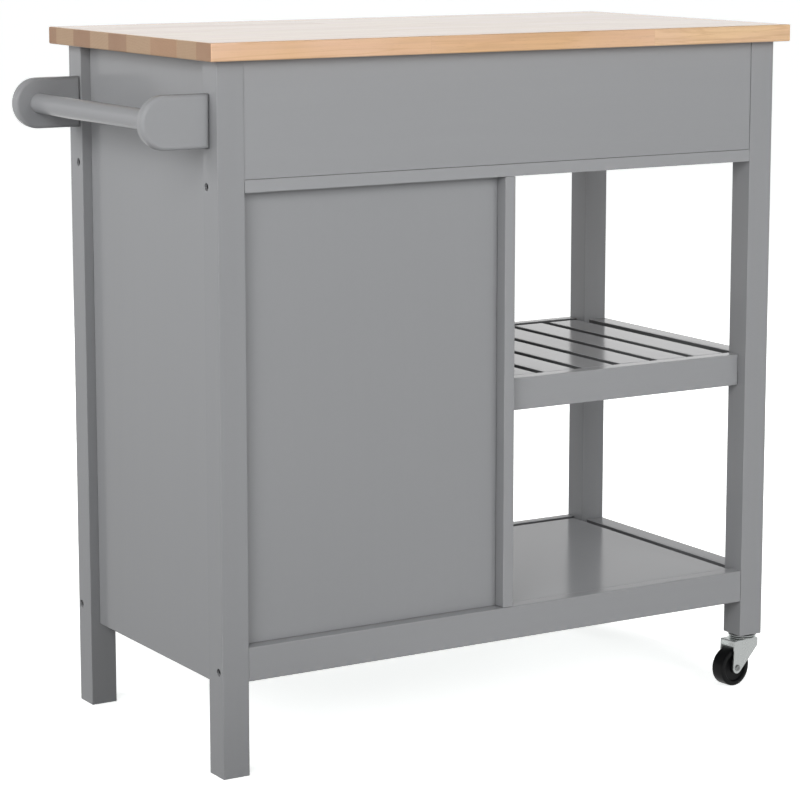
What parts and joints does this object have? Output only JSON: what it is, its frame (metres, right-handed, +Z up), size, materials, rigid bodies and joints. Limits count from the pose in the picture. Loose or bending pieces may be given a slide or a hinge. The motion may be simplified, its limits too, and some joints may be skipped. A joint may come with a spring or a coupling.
{
  "type": "kitchen island cart",
  "caption": "Painted kitchen island cart with a wooden worktop, drawers, a door cupboard, an open bay with slatted shelf, a towel bar and casters under one end.",
  "frame": {"origin": "bottom centre of the whole cart's box, on the floor", "axes": "+Z up; -Y is the front with drawers and door; +X is the end with the towel bar and full-length legs, -X the end with the casters"},
  "size_m": [0.905, 0.4404, 0.87],
  "materials": {
    "grey_lacquer": "satin grey lacquer over wood, slightly glossy on flat tops",
    "light_wood": "clear satin oil on edge-glued light hardwood staves",
    "drawer_wood": "unpainted plywood",
    "zinc_plate": "bright zinc plate",
    "satin_nickel": "satin nickel plate",
    "black_rubber": "semi-matt black",
    "catch_plastic": "matt off-white"
  },
  "bodies": {
    "carcass": {"post_front_left": "grey_lacquer", "post_front_right": "grey_lacquer", "post_back_left": "grey_lacquer", "post_back_right": "grey_lacquer", "back_apron": "grey_lacquer", "left_end_apron": "grey_lacquer", "right_side_panel": "grey_lacquer", "cupboard_back_panel": "grey_lacquer", "divider_panel": "grey_lacquer", "mid_rail_back": "grey_lacquer", "mid_rail_front": "grey_lacquer", "bottom_rail_back": "grey_lacquer", "bottom_rail_front": "grey_lacquer", "bottom_rail_left_end": "grey_lacquer", "bottom_shelf": "grey_lacquer", "cupboard_shelf": "grey_lacquer", "slat_rail_back": "grey_lacquer", "slat_rail_front": "grey_lacquer", "slat_rail_end": "grey_lacquer", "slat_1": "grey_lacquer", "slat_2": "grey_lacquer", "slat_3": "grey_lacquer", "slat_4": "grey_lacquer", "slat_5": "grey_lacquer", "slat_6": "grey_lacquer", "drawer_partition": "grey_lacquer", "drawer_support_left": "grey_lacquer", "drawer_support_centre": "grey_lacquer", "drawer_support_right": "grey_lacquer", "towel_bar": "grey_lacquer", "towel_bracket_front": "grey_lacquer", "towel_bracket_back": "grey_lacquer", "worktop": "light_wood", "caster_front_stem": "zinc_plate", "caster_back_stem": "zinc_plate", "hinge_upper_post_leaf": "satin_nickel", "hinge_lower_post_leaf": "satin_nickel", "door_catch": "catch_plastic"},
    "drawer_left": {"drawer_left_front": "grey_lacquer", "drawer_left_side_left": "drawer_wood", "drawer_left_side_right": "drawer_wood", "drawer_left_back": "drawer_wood", "drawer_left_bottom": "drawer_wood", "drawer_left_knob": "satin_nickel"},
    "drawer_right": {"drawer_right_front": "grey_lacquer", "drawer_right_side_left": "drawer_wood", "drawer_right_side_right": "drawer_wood", "drawer_right_back": "drawer_wood", "drawer_right_bottom": "drawer_wood", "drawer_right_knob": "satin_nickel"},
    "door": {"door_board": "grey_lacquer", "door_knob": "satin_nickel", "hinge_upper_door_leaf": "satin_nickel", "hinge_lower_door_leaf": "satin_nickel"},
    "caster_front": {"caster_front_fork": "zinc_plate", "caster_front_axle": "zinc_plate"},
    "wheel_front": {"caster_front_wheel": "black_rubber"},
    "caster_back": {"caster_back_fork": "zinc_plate", "caster_back_axle": "zinc_plate"},
    "wheel_back": {"caster_back_wheel": "black_rubber"}
  },
  "joints": [
    {"name": "drawer_left_slide", "type": "slide", "parent": "carcass", "child": "drawer_left", "axis": [0, -1, 0], "range_m": [0, 0.25]},
    {"name": "drawer_right_slide", "type": "slide", "parent": "carcass", "child": "drawer_right", "axis": [0, -1, 0], "range_m": [0, 0.25]},
    {"name": "door_hinge", "type": "hinge", "parent": "carcass", "child": "door", "pos_m": [0.32945, -0.19705, 0.4262], "axis": [0, 0, 1], "range_deg": [0, 105]},
    {"name": "caster_front_swivel", "type": "hinge", "parent": "carcass", "child": "caster_front", "pos_m": [-0.42, -0.17675, 0.0615], "axis": [0, 0, 1], "continuous": true},
    {"name": "caster_front_spin", "type": "hinge", "parent": "caster_front", "child": "wheel_front", "pos_m": [-0.39918, -0.17397, 0.025], "axis": [-0.1323, 0.9912, 0], "continuous": true},
    {"name": "caster_back_swivel", "type": "hinge", "parent": "carcass", "child": "caster_back", "pos_m": [-0.42, 0.18725, 0.0615], "axis": [0, 0, 1], "continuous": true},
    {"name": "caster_back_spin", "type": "hinge", "parent": "caster_back", "child": "wheel_back", "pos_m": [-0.39918, 0.19003, 0.025], "axis": [-0.1323, 0.9912, 0], "continuous": true}
  ]
}
